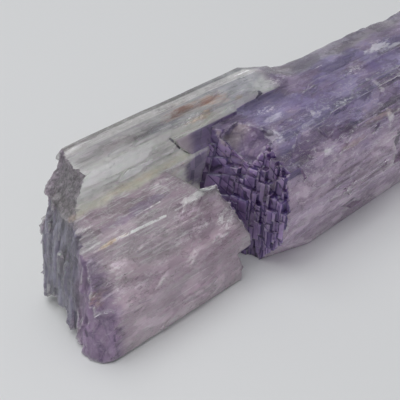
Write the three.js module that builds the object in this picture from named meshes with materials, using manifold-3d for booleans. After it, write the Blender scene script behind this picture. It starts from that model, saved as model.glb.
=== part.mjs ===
// A kunzite crystal: spodumene crystals that grew side by side along one axis, in one rigid piece.
//
// Millimetres. X runs along the crystals from the broken end to the far end, Y to the back, Z up.
// The piece lies on its flattest side. It is worked out with its broken end at X = 0 and moved at
// the end, so that the origin is under the middle of its bounding box.
//
//   clearCrystal   the colourless crystal along the top of the back, with its darker foot below
//   pinkCrystal    the short pale pink crystal in front, at the broken end
//   violetCrystal  the big crystal that takes over behind them, with a deeply etched end face

import * as THREE from 'three';
import { mergeVertices } from 'three/addons/utils/BufferGeometryUtils.js';
import Module from 'manifold-3d';

// Driving dimensions.

const clearTop = 27.4; // highest ridge above the ground
const violetTop = 24.3; // top of the big crystal
const violetFront = -4; // front of the big crystal, along Y
const backSide = 21.5; // back of the big crystal, along Y

const clearEnd = 66; // where the clear crystal's top has run down into the big one
const pinkEnd = 34; // free end of the pink crystal
const violetStart = 37.6; // foot of the etched end face
const farEnd = 112; // the longest reach of the far end

const striaPitch = 1.5; // width of one growth strip on the long faces
const striaDepth = 0.22; // how far strips step in
const flakeThickness = 1.6; // the flake over the front of the clear crystal, in all
const flakeProud = 0.55; // how far of that it stands out

// Cross-sections, each a list of [y, z] corners, anticlockwise seen from the far end's side
// with Y to the right.

const clearOutline = [
  [11.8, 2.8],
  [16.3, 2.8],
  [17.8, 1],
  [19.8, 1.2],
  [20.5, 4],
  [20.3, 9],
  [20.7, 14],
  [20, 18.5],
  [20.9, 23],
  [20.8, clearTop],
  [19.9, clearTop - 0.1],
  [18.6, 26.5],
  [14.2, 26.3],
  [13, 22.1],
  [11.8, 20.7],
];

const pinkOutline = [
  [-0.6, 0.3],
  [0, 0],
  [5.5, 0],
  [9.8, 1],
  [12.4, 3],
  [15, 6],
  [15, 20.7],
  [11.8, 20.7],
  [7, 17.9],
  [3.2, 13.4],
  [0, 9.2],
];

const violetOutline = [
  [-3.6, 7.6],
  [-2.4, 0.5],
  [-1.8, 0],
  [15.5, 0],
  [19.6, 2.6],
  [backSide, 8],
  [backSide + 0.5, 15.5],
  [backSide - 0.2, 21],
  [20.5, violetTop - 0.2],
  [14.2, violetTop],
  [9, 23.6],
  [3, 22.5],
  [-1.4, 19.4],
  [-2.7, 15.5],
  [violetFront, 12],
];

// The sections that lines of an end face follow: [z, x].

const brokenLower = [[0, 1.2], [7, 2.3], [14, 3.5], [20.4, 5.2]];
const brokenUpper = [[20.4, 5.8], [23.6, 9], [28, 10.7]];
const etchedFace = [[0, violetStart], [8, 36.7], [12, 36.9], [16, 38.4], [22.5, 41.2], [25, 44]];
const farFrontFace = [[0, farEnd - 21], [26, farEnd - 13]];
const farMiddleFace = [[0, farEnd - 11], [26, farEnd - 6]];
const farBackFace = [[0, farEnd - 5.5], [26, farEnd - 1.6]];

// Places safely outside the piece, where the blocks that cut it start and end.

const beforeAll = -12;
const beforeViolet = 10;
const pastAll = 130;
const underground = -1;
const aboveViolet = 27;
const overhead = 30;
const behindAll = 30;

const wasm = await Module();
wasm.setup();

const axisX = new THREE.Vector3(1, 0, 0);
const axisY = new THREE.Vector3(0, 1, 0);
const axisZ = new THREE.Vector3(0, 0, 1);

// A repeatable random source, from 0 to 1.
function seeded(seed) {
  let state = seed;
  return () => {
    state = (state * 1664525 + 1013904223) % 4294967296;
    return state / 4294967296;
  };
}

function toSolid(geometry) {
  const bare = geometry.clone();
  bare.deleteAttribute('normal');
  bare.deleteAttribute('uv');
  const merged = mergeVertices(bare, 1e-4);
  return new wasm.Manifold(new wasm.Mesh({
    numProp: 3,
    vertProperties: merged.attributes.position.array,
    triVerts: new Uint32Array(merged.index.array),
  }));
}

function toGeometry(solid) {
  const { vertProperties, triVerts } = solid.getMesh();
  const geometry = new THREE.BufferGeometry();
  geometry.setAttribute('position', new THREE.BufferAttribute(vertProperties, 3));
  geometry.setIndex(new THREE.BufferAttribute(triVerts, 1));
  geometry.computeVertexNormals();
  return geometry;
}

const joined = (solids) => solids.reduce((all, solid) => all.add(solid));

// An outline in the plane of the axes `across` and `up`, drawn out by `depth` from `start`.
function slab(points, across, up, start, depth) {
  const shape = new THREE.Shape(points.map(([u, v]) => new THREE.Vector2(u, v)));
  const geometry = new THREE.ExtrudeGeometry(shape, { depth, bevelEnabled: false });
  const out = new THREE.Vector3().crossVectors(across, up);
  geometry.applyMatrix4(new THREE.Matrix4().makeBasis(across, up, out).setPosition(start));
  return toSolid(geometry);
}

// The outline with each long side broken into growth strips that stand in by different depths.
// The side on the ground stays flat.
function striated(outline, seed) {
  const random = seeded(seed);
  const points = [];
  outline.forEach(([y0, z0], i) => {
    const [y1, z1] = outline[(i + 1) % outline.length];
    const length = Math.hypot(y1 - y0, z1 - z0);
    const strips = z0 === 0 && z1 === 0 ? 1 : Math.max(1, Math.round(length / striaPitch));
    points.push([y0, z0]);
    for (let k = 1; k < strips; k++) {
      const t = (k + 0.5 * (random() - 0.5)) / strips;
      const inset = striaDepth * random();
      points.push([
        y0 + (y1 - y0) * t - ((z1 - z0) / length) * inset,
        z0 + (z1 - z0) * t + ((y1 - y0) / length) * inset,
      ]);
    }
  });
  return points;
}

function prism(outline, seed, xFrom, xTo) {
  return slab(striated(outline, seed), axisY, axisZ, new THREE.Vector3(xFrom, 0, 0), xTo - xFrom);
}

// The position along X of an end face at height z.
function reach(section, z) {
  const last = section.length - 1;
  const i = Math.max(1, section.findIndex(([top]) => top >= z)) || last;
  const k = z > section[last][0] ? last : i;
  const [z0, x0] = section[k - 1];
  const [z1, x1] = section[k];
  return x0 + ((x1 - x0) * (z - z0)) / (z1 - z0);
}

// Widths of neighbouring columns are whole sixteenths, so that the columns meet exactly.
const snapped = (width) => Math.round(width * 16) / 16;

// What is taken off an end to leave it stepped, as upright columns of cells. Each cell stands
// forward or back by up to `relief`, and `lean` says how much of the face's own slope it keeps.
// The whole face is turned about the upright line at `pivot`, by `turn` along X for each mm of Y.
function steppedCut({
  section, yFrom, yTo, zFrom, zTo, cell, relief, lean, outside, turn, pivot, seed,
}) {
  const random = seeded(seed);
  const columns = [];
  let y = yFrom;
  while (y < yTo) {
    const wanted = snapped(cell[0] * (0.6 + 0.8 * random()));
    const width = yTo - y < wanted + cell[0] / 2 ? yTo - y : wanted;
    const edge = [];
    let z = zFrom;
    while (z < zTo) {
      const top = Math.min(zTo, z + cell[1] * (0.45 + 1.1 * random()));
      const middle = (z + top) / 2;
      const step = relief * (2 * random() - 1);
      for (const level of [z, top]) {
        edge.push([reach(section, middle + (level - middle) * lean) + step, level]);
      }
      z = top;
    }
    const points = outside < edge[0][0]
      ? [[outside, zFrom], ...edge, [outside, zTo]]
      : [[outside, zTo], ...edge.reverse(), [outside, zFrom]];
    columns.push(slab(points, axisX, axisZ, new THREE.Vector3(0, y + width, 0), width));
    y += width;
  }
  const turned = [1, 0, 0, 0, turn, 1, 0, 0, 0, 0, 1, 0, -turn * pivot, 0, 0, 1];
  return joined(columns).transform(turned);
}

// A frame on one side of an outline: a point `share` of the way along it, and its directions.
function onSide(outline, side, share) {
  const [y0, z0] = outline[side];
  const [y1, z1] = outline[(side + 1) % outline.length];
  const along = new THREE.Vector3(0, y1 - y0, z1 - z0).normalize();
  const point = new THREE.Vector3(0, y0 + (y1 - y0) * share, z0 + (z1 - z0) * share);
  return { point, along, inward: new THREE.Vector3().crossVectors(axisX, along) };
}

// A long thin growth plate on a side, pointed at both ends, standing out by `height`.
function plate(outline, side, share, xFrom, xTo, width, height) {
  const { point, along, inward } = onSide(outline, side, share);
  const taper = Math.min(2.2 * width, (xTo - xFrom) / 3);
  const points = [
    [xFrom, 0.5 * width],
    [xFrom + taper, -0.5 * width],
    [xTo, -0.35 * width],
    [xTo - taper, 0.5 * width],
  ];
  const start = point.clone().addScaledVector(inward, -height);
  return slab(points, axisX, along, start, height + 0.9);
}

// A pit with flat sides sunk into a side. Its corners are [x, distance along the side].
function pit(outline, side, share, corners, depth) {
  const { point, along, inward } = onSide(outline, side, share);
  return slab(corners, axisX, along, point.clone().addScaledVector(inward, -1), depth + 1);
}

// Plates at random along a side: `count` of them, each up to `longest` long.
function plates(outline, side, xFrom, xTo, count, longest, seed) {
  const random = seeded(seed);
  return Array.from({ length: count }, () => {
    const start = xFrom + (xTo - xFrom) * 0.85 * random();
    const end = Math.min(xTo, start + longest * (0.4 + 0.6 * random()));
    const width = 0.9 + 1.3 * random();
    return plate(outline, side, 0.2 + 0.65 * random(), start, end, width, 0.15 + 0.25 * random());
  });
}

// A block that starts at a plane through `point` and lies on the side that `normal` points to,
// for chipping a corner off along that plane.
function chip(point, normal, size = 40) {
  const geometry = new THREE.BoxGeometry(size, size, size).translate(0, 0, size / 2);
  const turn = new THREE.Quaternion().setFromUnitVectors(axisZ, normal.clone().normalize());
  geometry.applyQuaternion(turn).translate(point.x, point.y, point.z);
  return toSolid(geometry);
}

// The colourless crystal and its foot. Its top runs down into the big crystal at the far end,
// and its front edge is broken off a little before that.
function clearCrystal() {
  const runOut = slab(
    [
      [49.5, clearTop], [56, 25.3], [62, 23.8], [clearEnd + 3, 22.5], [clearEnd + 3, overhead],
      [49.5, overhead],
    ].reverse(),
    axisX, axisZ, new THREE.Vector3(0, behindAll, 0), behindAll,
  );
  const frontBreak = chip(new THREE.Vector3(43.5, 13.8, 26.3), new THREE.Vector3(15, -31, 94), 60);
  return joined([
    prism(clearOutline, 11, -3, clearEnd),
    ...plates(clearOutline, 11, 14, 46, 3, 26, 5),
    ...plates(clearOutline, 12, 12, 30, 2, 16, 8),
    ...plates(clearOutline, 6, 8, 50, 3, 30, 9),
  ])
    .subtract(runOut)
    .subtract(frontBreak);
}

// The pink crystal. Its free end is rounded off, with a small bite out of its foot.
function pinkCrystal() {
  const freeEnd = [
    [24.4, 12], [26.3, 9.4], [28, 7.4], [31.4, 6.7], [33.1, 2.6], [pinkEnd, -0.4], [pinkEnd, -4],
    [50, -4], [50, 30], [24.4, 30],
  ];
  const footBite = [[31.1, 5.9], [33.4, 6.4], [40, 6.4], [40, -1], [30.2, -1], [32.3, 2.4]];
  return joined([
    prism(pinkOutline, 23, -3, pinkEnd + 1),
    ...plates(pinkOutline, 8, 8, 28, 3, 18, 3),
    ...plates(pinkOutline, 9, 8, 30, 3, 18, 4),
    ...plates(pinkOutline, 10, 8, 30, 2, 16, 6),
  ])
    .subtract(slab(freeEnd, axisX, axisY, new THREE.Vector3(0, 0, underground), overhead))
    .subtract(slab(footBite.reverse(), axisX, axisZ, new THREE.Vector3(0, 6, 0), 10));
}

// The big crystal, with a stepped end face at each end and a few pits on its front.
function violetCrystal() {
  const upright = { zFrom: underground, zTo: aboveViolet };
  const near = { section: etchedFace, outside: beforeViolet, ...upright };
  const nearFront = { ...near, lean: 0.2, turn: -0.3, pivot: 0.7 };
  const nearBack = { ...near, lean: 0.6, turn: -0.75, pivot: 4.5 };
  const far = { cell: [2.2, 4], lean: 0.5, outside: pastAll, ...upright };
  const ends = [
    { ...nearFront, yFrom: -6, yTo: 3.5, cell: [0.9, 3], relief: 0.38, seed: 41 },
    { ...nearFront, yFrom: 3.5, yTo: 7, cell: [2.4, 1.7], relief: 0.42, seed: 43 },
    { ...nearBack, yFrom: 7, yTo: 26, cell: [2.6, 2.8], relief: 0.45, seed: 42 },
    { ...far, section: farFrontFace, yFrom: -8, yTo: 3.5, relief: 0.9, turn: 0.25, pivot: 0, seed: 52 },
    { ...far, section: farMiddleFace, yFrom: 3.5, yTo: 13, relief: 0.9, turn: 0.1, pivot: 8, seed: 53 },
    { ...far, section: farBackFace, yFrom: 13, yTo: 26, relief: 0.8, turn: -0.2, pivot: 18, seed: 54 },
  ];
  // The back edge of the top dips and rises along the crystal. The cut climbs towards the front
  // by backBevel from the line y = backHinge, so that it leaves the middle of the top alone.
  const backBevel = -0.3;
  const backHinge = 20.7;
  const backEdge = slab(
    [
      [54, 25], [62, 23.9], [68, 23.7], [80, 23.9], [85, 24.2], [88, 23.8], [92, 23.6],
      [95.8, 23.2], [97.5, 23.7], [100, 24.1], [106, 23.4], [farEnd + 5, 23.8],
      [farEnd + 5, overhead], [54, overhead],
    ].reverse(),
    axisX, axisZ, new THREE.Vector3(0, behindAll, 0), 26,
  ).transform([1, 0, 0, 0, 0, 1, backBevel, 0, 0, 0, 1, 0, 0, 0, -backBevel * backHinge, 1]);
  const scoop = chip(new THREE.Vector3(41, 8.5, 21.8), new THREE.Vector3(-20, -14, 20), 7);
  const foot = chip(new THREE.Vector3(violetStart, 0.7, 0.3), new THREE.Vector3(-17, -56, -36));
  return joined([
    prism(violetOutline, 31, 20, farEnd + 4),
    ...plates(violetOutline, 9, 46, 100, 4, 34, 61),
    ...plates(violetOutline, 10, 44, 100, 5, 30, 62),
    ...plates(violetOutline, 11, 44, 96, 4, 26, 63),
    ...plates(violetOutline, 12, 42, 94, 3, 24, 64),
    ...plates(violetOutline, 14, 44, 92, 3, 24, 65),
    ...plates(violetOutline, 6, 46, 100, 4, 34, 66),
  ])
    .subtract(joined(ends.map(steppedCut)))
    .subtract(backEdge)
    .subtract(scoop)
    .subtract(foot)
    .subtract(pit(violetOutline, 0, 0.6, [[56, -1.6], [62.5, 0.6], [59.5, 1.2]], 0.7))
    .subtract(pit(violetOutline, 14, 0.7, [[50.5, -0.5], [55.8, -0.2], [54, 0.5]], 0.4))
    .subtract(pit(violetOutline, 12, 0.3, [[43.6, -1.4], [44.9, 1.4], [43.8, 1.3]], 0.5))
    .subtract(pit(violetOutline, 11, 0.35, [[51.6, -1.4], [53, 1.2], [51.9, 1.1]], 0.5))
    .subtract(pit(violetOutline, 14, 0.2, [[69, -3.6], [75.5, -2.6], [77, 3.4], [69.6, 2.6]], 1.4));
}

// A thin flake of the big crystal that laps over the front of the clear one.
function flake() {
  const { point, along, inward } = onSide(clearOutline, 12, 0);
  const outline = [
    [27.7, 1.5], [30.1, 1.4], [33.8, 1.8], [36, 1.2], [42, 0.6], [42, 6], [30.5, 6.2],
    [30.6, 5.5], [28.9, 3.6],
  ].reverse();
  const start = point.clone().addScaledVector(inward, -flakeProud);
  return slab(outline, axisX, along, start, flakeThickness);
}

const brokenEnd = [
  steppedCut({
    section: brokenLower, yFrom: -4, yTo: 24, zFrom: underground, zTo: 20.4, cell: [1, 4.5],
    relief: 0.45, lean: 0.9, outside: beforeAll, turn: 0.1, pivot: 12, seed: 71,
  }),
  steppedCut({
    section: brokenUpper, yFrom: 4, yTo: 24, zFrom: 20.4, zTo: overhead, cell: [1, 1.8],
    relief: 0.22, lean: 0.8, outside: beforeAll, turn: -0.05, pivot: 14, seed: 72,
  }),
];

// The pink crystal's lower corner at the broken end is split off along a clean face, which
// slopes out to the ground by `splitSlope`.
const splitTop = 10;
const splitSlope = 0.33;
const splitCorner = slab(
  [[6.2, -1.6], [5.3, 0], [2.5, 5], [0.5, 9], [-8, 9], [-8, -4], [7.5, -4]].reverse(),
  axisX, axisY, new THREE.Vector3(0, 0, underground), splitTop - underground,
).transform([1, 0, 0, 0, 0, 1, 0, 0, splitSlope, 0, 1, 0, -splitSlope * splitTop, 0, 0, 1]);

const grownTogether = joined([clearCrystal(), pinkCrystal()])
  .subtract(splitCorner)
  .subtract(brokenEnd[0])
  .subtract(brokenEnd[1])
  .add(violetCrystal())
  .add(flake());

// The cuts can leave a loose crumb, so only the largest body is kept.
const [crystal] = grownTogether.decompose().sort((a, b) => b.volume() - a.volume());

const geometry = toGeometry(crystal);
geometry.computeBoundingBox();
const middle = geometry.boundingBox.getCenter(new THREE.Vector3());
geometry.translate(-middle.x, -middle.y, -geometry.boundingBox.min.z);

const mesh = new THREE.Mesh(
  geometry,
  new THREE.MeshStandardMaterial({ color: 0x8c7f96, roughness: 0.35, metalness: 0 }),
);
mesh.name = 'kunzite_crystal';

const group = new THREE.Group();
group.add(mesh);

export default group;
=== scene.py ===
# A kunzite crystal lying on a pale floor: a clear crystal, a short pink one and a big violet one,
# grown together along one axis.

import random
from math import radians
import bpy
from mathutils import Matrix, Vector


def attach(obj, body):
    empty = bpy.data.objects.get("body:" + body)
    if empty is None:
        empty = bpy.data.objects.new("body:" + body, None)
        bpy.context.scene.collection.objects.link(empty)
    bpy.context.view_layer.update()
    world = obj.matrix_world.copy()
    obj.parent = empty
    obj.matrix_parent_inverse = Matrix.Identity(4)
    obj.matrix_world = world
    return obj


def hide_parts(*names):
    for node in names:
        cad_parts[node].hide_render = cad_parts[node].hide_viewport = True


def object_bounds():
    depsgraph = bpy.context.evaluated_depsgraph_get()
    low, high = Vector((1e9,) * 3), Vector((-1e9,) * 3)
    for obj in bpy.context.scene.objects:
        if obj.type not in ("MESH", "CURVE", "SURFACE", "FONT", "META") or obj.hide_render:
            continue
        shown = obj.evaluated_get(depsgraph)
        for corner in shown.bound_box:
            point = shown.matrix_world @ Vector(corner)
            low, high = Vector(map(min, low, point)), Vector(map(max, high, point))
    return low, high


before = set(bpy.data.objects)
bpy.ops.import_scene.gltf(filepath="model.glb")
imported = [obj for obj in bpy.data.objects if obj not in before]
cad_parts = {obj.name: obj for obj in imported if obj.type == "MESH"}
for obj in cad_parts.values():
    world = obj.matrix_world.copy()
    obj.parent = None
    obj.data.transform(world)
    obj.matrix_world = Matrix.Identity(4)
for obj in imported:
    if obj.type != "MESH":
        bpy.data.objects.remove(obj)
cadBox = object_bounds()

from types import SimpleNamespace

import bmesh
import bpy
from mathutils import Vector

mm = 0.001
low, high = cadBox

# The crystal's own millimetres: x along it from the broken end, y back from the pink crystal's
# foot, z up.
brokenTip = 0.28
violetFront = -4.285


def place(x, y, z):
    return Vector((low.x + (x - brokenTip) * mm, low.y + (y - violetFront) * mm, low.z + z * mm))


def inCrystal(point):
    return ((point.x - low.x) / mm + brokenTip, (point.y - low.y) / mm + violetFront,
            (point.z - low.z) / mm)


def limit(value):
    return min(1.0, max(0.0, value))


def deselectAll():
    if bpy.context.object and bpy.context.object.mode != "OBJECT":
        bpy.ops.object.mode_set(mode="OBJECT")
    bpy.ops.object.select_all(action="DESELECT")


def makeActive(piece):
    deselectAll()
    piece.select_set(True)
    bpy.context.view_layer.objects.active = piece


class Wire:
    # one output socket; arithmetic on it adds Math nodes
    def __init__(self, graph, socket):
        self.graph = graph
        self.socket = socket

    def maths(self, operation, first, second=None):
        inputs = {0: first} if second is None else {0: first, 1: second}
        return self.graph.add("ShaderNodeMath", {"operation": operation}, inputs)

    def __add__(self, other):
        return self.maths("ADD", self, other)

    __radd__ = __add__

    def __sub__(self, other):
        return self.maths("SUBTRACT", self, other)

    def __rsub__(self, other):
        return self.maths("SUBTRACT", other, self)

    def __mul__(self, other):
        return self.maths("MULTIPLY", self, other)

    __rmul__ = __mul__

    def __truediv__(self, other):
        return self.maths("DIVIDE", self, other)

    def __abs__(self):
        return self.maths("ABSOLUTE", self)

    def atLeast(self, other):
        return self.maths("MAXIMUM", self, other)

    def atMost(self, other):
        return self.maths("MINIMUM", self, other)


class Graph:
    # the node tree of one material
    def __init__(self, name):
        self.material = bpy.data.materials.new(name)
        self.material.use_nodes = True
        self.tree = self.material.node_tree
        self.tree.nodes.clear()

    def add(self, kind, settings=None, inputs=None, output=0):
        node = self.tree.nodes.new(kind)
        for name, value in (settings or {}).items():
            setattr(node, name, value)
        for name, value in (inputs or {}).items():
            if isinstance(value, Wire):
                self.tree.links.new(value.socket, node.inputs[name])
            else:
                node.inputs[name].default_value = value
        return Wire(self, node.outputs[output]) if node.outputs else None

    def parts(self, vector):
        node = self.add("ShaderNodeSeparateXYZ", None, {0: vector}).socket.node
        return [Wire(self, socket) for socket in node.outputs]

    def attribute(self, name):
        return self.add("ShaderNodeAttribute", {"attribute_name": name}, output=2)

    def rise(self, value, start, end):
        # from 0 at start to 1 at end, eased
        return self.add("ShaderNodeMapRange", {"interpolation_type": "SMOOTHSTEP"},
                        {"Value": value, "From Min": start, "From Max": end})

    def mix(self, first, second, factor):
        colours = [(*c, 1) if isinstance(c, tuple) else c for c in (first, second)]
        return self.add("ShaderNodeMix", {"data_type": "RGBA", "clamp_factor": True},
                        {0: factor, 6: colours[0], 7: colours[1]}, output=2)

    def shade(self, colour, amount):
        # a colour times a number
        return self.add("ShaderNodeVectorMath", {"operation": "SCALE"}, {0: colour, "Scale": amount})

    def scaled(self, vector, factors, shift=(0, 0, 0)):
        return self.add("ShaderNodeVectorMath", {"operation": "MULTIPLY_ADD"},
                        {0: vector, 1: factors, 2: shift})

    def noise(self, vector, scale, detail=3.0, roughness=0.55, distortion=0.0):
        return self.add("ShaderNodeTexNoise", None, {
            "Vector": vector, "Scale": scale, "Detail": detail, "Roughness": roughness,
            "Distortion": distortion})

    def streaks(self, at, along, scale, detail, roughness, distortion=0.0, shift=(0, 0, 0)):
        # noise drawn out along the crystal, where it changes only this share as fast as across it
        return self.noise(self.scaled(at, (along, 1, 1), shift), scale, detail, roughness, distortion)

    def voronoi(self, vector, scale, feature, output=0):
        return self.add("ShaderNodeTexVoronoi", {"feature": feature},
                        {"Vector": vector, "Scale": scale}, output)

    def patch(self, at, ragged, centre, size, soft=0.55):
        # 1 inside an ellipsoid with a ragged edge, 0 outside
        moved = self.scaled(at, tuple(1 / s for s in size),
                            tuple(-c / s for c, s in zip(centre, size)))
        length = self.add("ShaderNodeVectorMath", {"operation": "LENGTH"}, {0: moved}, output=1)
        return self.rise(length + ragged, 1.0, 1.0 - soft)

    def stroke(self, at, ragged, start, end, width, soft=0.55):
        # 1 along a straight line in space, 0 further than width from it
        start = Vector(start)
        along = Vector(end) - start
        moved = self.add("ShaderNodeVectorMath", {"operation": "SUBTRACT"}, {0: at, 1: tuple(start)})
        share = self.add("ShaderNodeVectorMath", {"operation": "DOT_PRODUCT"},
                         {0: moved, 1: tuple(along / along.length_squared)}, output=1)
        near = self.scaled(share.atLeast(0).atMost(1), tuple(along), tuple(start))
        distance = self.add("ShaderNodeVectorMath", {"operation": "DISTANCE"}, {0: at, 1: near},
                            output=1)
        return self.rise(distance / width + ragged, 1.0, 1.0 - soft)

    def strongest(self, maker, at, ragged, table, soft=0.55):
        # the strongest of several patches or strokes, each row ending in its strength
        total = None
        for *shape, strength in table:
            one = maker(at, ragged, *shape, soft=soft) * strength
            total = one if total is None else total.atLeast(one)
        return total

    def finish(self, surface, volume=None):
        inputs = {"Surface": surface} if volume is None else {"Surface": surface, "Volume": volume}
        self.add("ShaderNodeOutputMaterial", None, inputs)
        return self.material


# the camera's place in the crystal's millimetres, and its angles in degrees
view = {"from": (-32.6, -60.9, 89.3), "down": 51, "turn": -41.7, "lens": 62.19}


def makeCamera():
    bpy.ops.object.camera_add(location=place(*view["from"]),
                              rotation=(radians(view["down"]), 0, radians(view["turn"])))
    camera = bpy.context.object
    camera.data.lens = view["lens"]
    bpy.context.scene.camera = camera


studio = {                    # metres
    "sky": (0.97, 0.985, 1.0, 1),
    "skyStrength": 0.4,
    "lampPlace": (-0.12, 0.18, 0.72),
    "lampSize": 0.7,
    "lampPower": 3.6,
    "floorSize": 6,
    "paper": (0.71, 0.717, 0.726, 1),
    "paperRoughness": 0.45,
    "paperShine": 0.45,
}


def makeStudio():
    scene = bpy.context.scene
    scene.view_settings.view_transform = "Standard"
    scene.world = bpy.data.worlds.new("studio")
    scene.world.use_nodes = True
    background = scene.world.node_tree.nodes["Background"]
    background.inputs["Color"].default_value = studio["sky"]
    background.inputs["Strength"].default_value = studio["skyStrength"]

    bpy.ops.object.light_add(type="AREA", location=studio["lampPlace"])
    lamp = bpy.context.object
    lamp.data.size = studio["lampSize"]
    lamp.data.energy = studio["lampPower"]
    lamp.rotation_euler = (-lamp.location).to_track_quat("-Z", "Y").to_euler()

    bpy.ops.mesh.primitive_plane_add(size=studio["floorSize"], location=(0, 0, low.z))
    floor = bpy.context.object
    floor.name = "floor"
    bpy.ops.object.transform_apply(location=True, rotation=False, scale=True)
    graph = Graph("paper")
    paper = graph.add("ShaderNodeBsdfPrincipled", None, {
        "Base Color": studio["paper"], "Roughness": studio["paperRoughness"],
        "Specular IOR Level": studio["paperShine"]})
    floor.data.materials.append(graph.finish(paper))


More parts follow.
